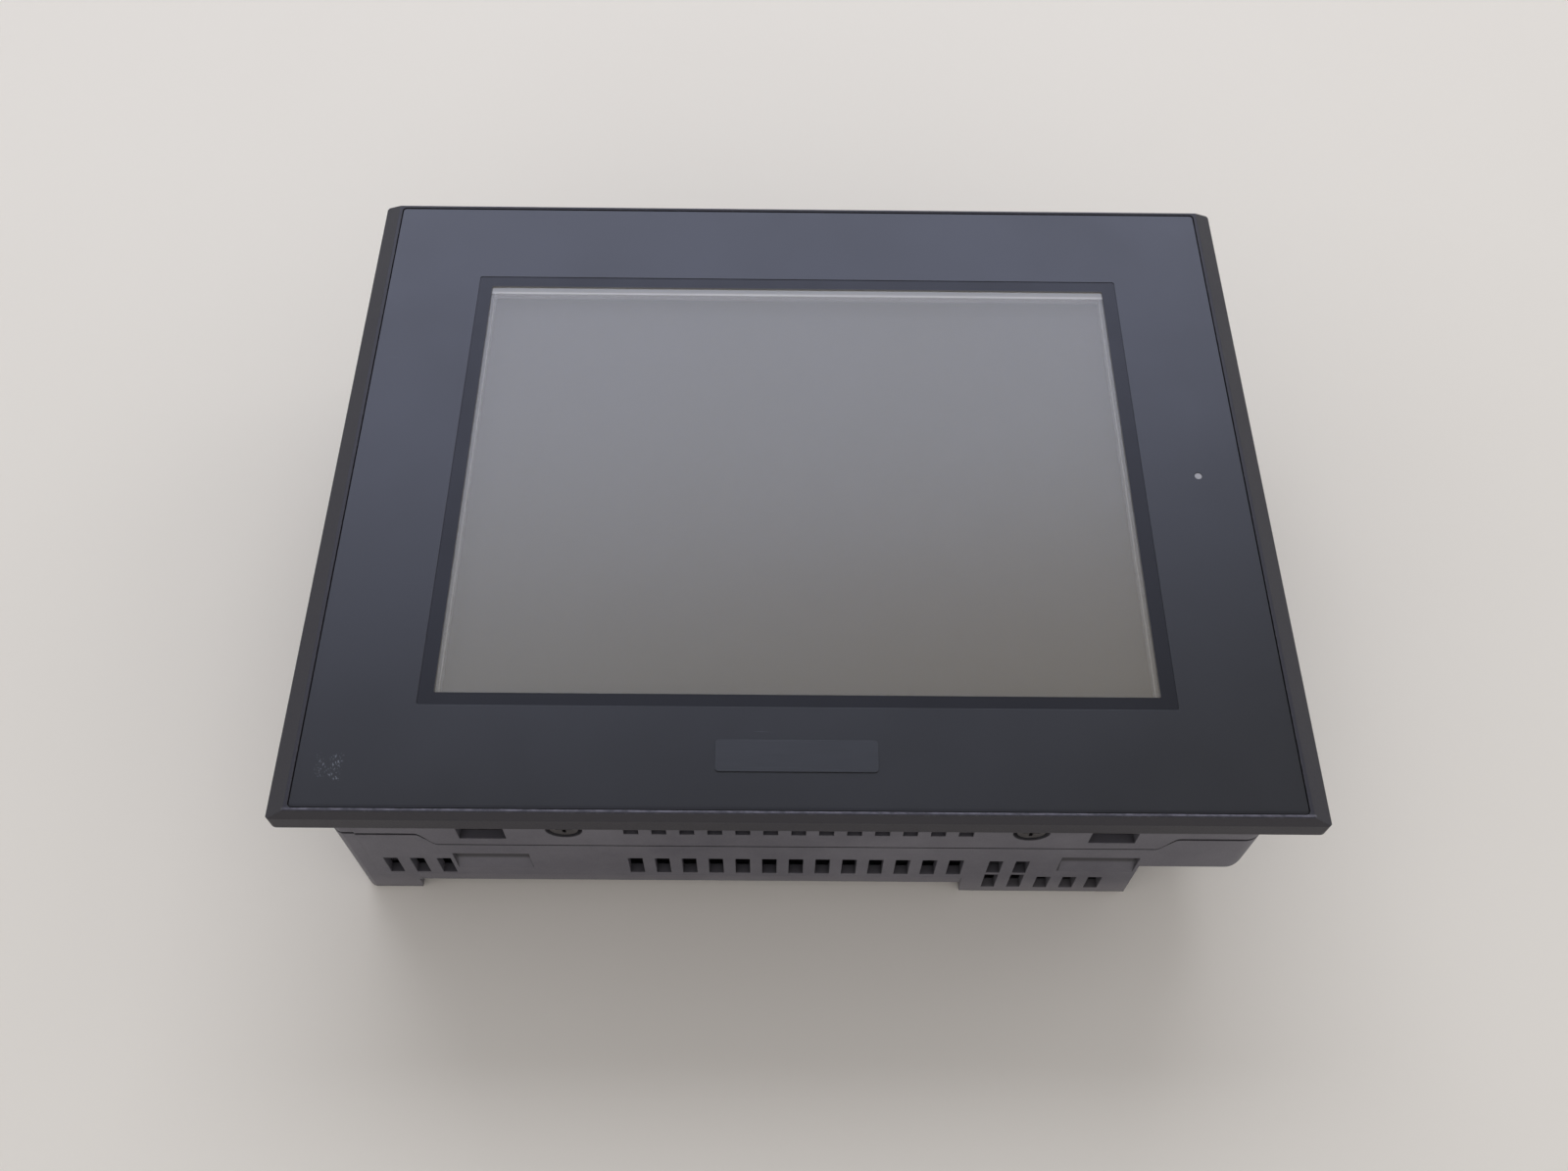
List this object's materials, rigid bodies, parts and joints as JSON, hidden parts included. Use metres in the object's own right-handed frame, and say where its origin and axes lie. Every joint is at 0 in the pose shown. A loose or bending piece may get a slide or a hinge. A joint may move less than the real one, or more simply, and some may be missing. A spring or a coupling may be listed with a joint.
{
  "type": "operator touch panel",
  "caption": "Panel-mount operator terminal with a resistive touch screen, bevelled front flange, vented two-part case, rear connectors and a hinged card door.",
  "frame": {"origin": "middle of the plane the two rear feet rest on, centred on the front flange", "axes": "+X to the right of the screen, +Y to its top edge, +Z out of the screen"},
  "size_m": [0.215, 0.17, 0.06],
  "materials": {
    "case_plastic": "fine moulded texture",
    "gasket_rubber": "matte",
    "front_sheet": "fine matte print",
    "badge": "satin",
    "black_rim": "satin print",
    "touch_film": "anti-glare",
    "light_tape": "matte",
    "touch_glass": "clear",
    "amber_flex": "satin",
    "light_pipe": "frosted",
    "circuit_board": "solder mask",
    "display_metal": "satin",
    "display_glass": "anti-glare",
    "white_sheet": "matte",
    "acrylic": "clear",
    "lamp_glass": "coated",
    "wire_insulation": "satin",
    "ribbon_film": "satin",
    "chassis_steel": "zinc plated",
    "screw_steel": "zinc plated",
    "chip_black": "matte",
    "aluminium": "extruded",
    "cell_steel": "bright",
    "brass": "turned",
    "transformer": "taped core",
    "capacitor_sleeve": "sleeve",
    "cream_plastic": "moulded",
    "label_silver": "blank foil",
    "terminal_black": "moulded",
    "clear_cover": "smoked clear",
    "connector_metal": "tinned",
    "switch_red": "moulded",
    "slider_white": "moulded"
  },
  "bodies": {
    "housing": {"front_bezel": "case_plastic", "panel_gasket": "gasket_rubber", "overlay_sheet": "front_sheet", "badge_plate": "badge", "touch_rim_seal": "black_rim", "touch_film": "touch_film", "touch_spacer": "light_tape", "touch_glass": "touch_glass", "touch_tape": "light_tape", "touch_tail": "amber_flex", "screen_cushion": "gasket_rubber", "status_light_pipe": "light_pipe", "status_light_board": "circuit_board", "display_frame": "display_metal", "display_glass": "display_glass", "diffuser_sheet": "white_sheet", "light_guide": "acrylic", "display_tray": "white_sheet", "backlight_lamp": "lamp_glass", "lamp_holders": "white_sheet", "lamp_cable": "wire_insulation", "inverter_board": "circuit_board", "display_cable": "ribbon_film", "chassis_plate": "chassis_steel", "chassis_screws": "screw_steel", "main_board": "circuit_board", "board_chips": "chip_black", "heat_sink": "aluminium", "backup_battery": "cell_steel", "buzzer": "chip_black", "board_spacers": "brass", "board_screws": "screw_steel", "power_board": "circuit_board", "power_transformer": "transformer", "power_capacitors": "capacitor_sleeve", "board_connector": "cream_plastic", "rear_cover": "case_plastic", "rear_screws": "screw_steel", "side_screws": "screw_steel", "expansion_cover": "case_plastic", "expansion_screws": "screw_steel", "rear_label": "label_silver", "terminal_block": "terminal_black", "terminal_screws": "screw_steel", "serial_connector": "connector_metal", "serial_jack_posts": "connector_metal", "network_jack": "connector_metal", "tool_port": "terminal_black", "card_socket": "connector_metal", "card_door_pin": "screw_steel", "dip_switch_block": "switch_red"},
    "terminal_cover": {"terminal_cover": "clear_cover"},
    "card_eject_button": {"card_eject_button": "terminal_black"},
    "card_door": {"card_door": "case_plastic"},
    "dip_slider_1": {"dip_slider_1": "slider_white"},
    "dip_slider_2": {"dip_slider_2": "slider_white"},
    "dip_slider_3": {"dip_slider_3": "slider_white"},
    "dip_slider_4": {"dip_slider_4": "slider_white"}
  },
  "joints": [
    {"name": "card_door_hinge", "type": "hinge", "parent": "housing", "child": "card_door", "pos_m": [-0.1003, 0.034, 0.0238], "axis": [0, 0, -1], "range_deg": [0, 110]},
    {"name": "terminal_cover_hinge", "type": "hinge", "parent": "housing", "child": "terminal_cover", "pos_m": [0.0974, -0.04, 0.0154], "axis": [0, -1, 0], "range_deg": [0, 80]},
    {"name": "card_eject_push", "type": "slide", "parent": "housing", "child": "card_eject_button", "axis": [1, 0, 0], "range_m": [0, 0.003]},
    {"name": "dip_slide_1", "type": "slide", "parent": "housing", "child": "dip_slider_1", "axis": [0, 0, 1], "range_m": [0, 0.0014]},
    {"name": "dip_slide_2", "type": "slide", "parent": "housing", "child": "dip_slider_2", "axis": [0, 0, 1], "range_m": [0, 0.0014]},
    {"name": "dip_slide_3", "type": "slide", "parent": "housing", "child": "dip_slider_3", "axis": [0, 0, 1], "range_m": [0, 0.0014]},
    {"name": "dip_slide_4", "type": "slide", "parent": "housing", "child": "dip_slider_4", "axis": [0, 0, 1], "range_m": [0, 0.0014]}
  ]
}
